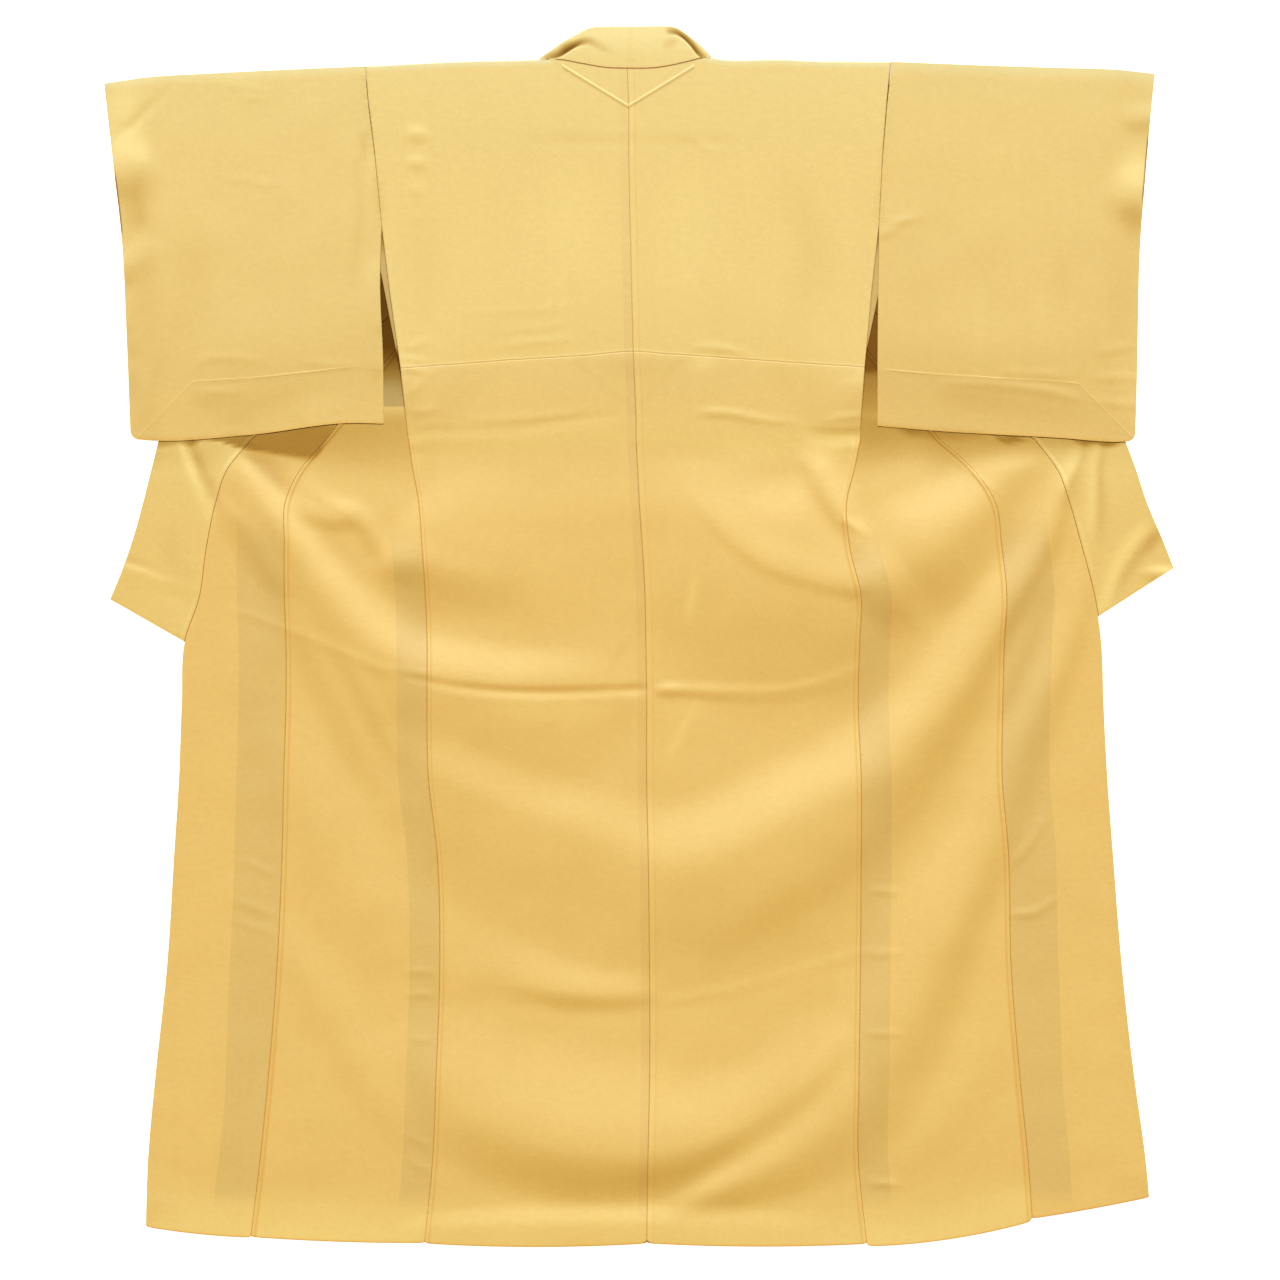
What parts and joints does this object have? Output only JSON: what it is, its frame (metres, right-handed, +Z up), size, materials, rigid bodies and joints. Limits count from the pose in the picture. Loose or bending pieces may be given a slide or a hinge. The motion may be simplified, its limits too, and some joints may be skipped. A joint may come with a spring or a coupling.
{
  "type": "kimono",
  "caption": "Plain unlined silk kimono spread out flat with its back upwards, both fronts swung out sideways below the wide sleeves, and a folded standing collar.",
  "frame": {"origin": "on the surface it lies on, under the middle of the spread garment", "axes": "+Z up off the surface, +Y from the hem to the collar, +X to the wearer's right"},
  "size_m": [1.4329, 1.6413, 0.0125],
  "materials": {
    "silk": "plain yellow silk crepe with a soft sheen"
  },
  "bodies": {
    "root": {"back_left": "silk", "back_right": "silk", "front_left": "silk", "front_right": "silk", "overlap_left": "silk", "overlap_right": "silk", "collar_neck": "silk", "collar_left": "silk", "collar_right": "silk", "sleeve_left": "silk", "sleeve_right": "silk"}
  },
  "joints": []
}
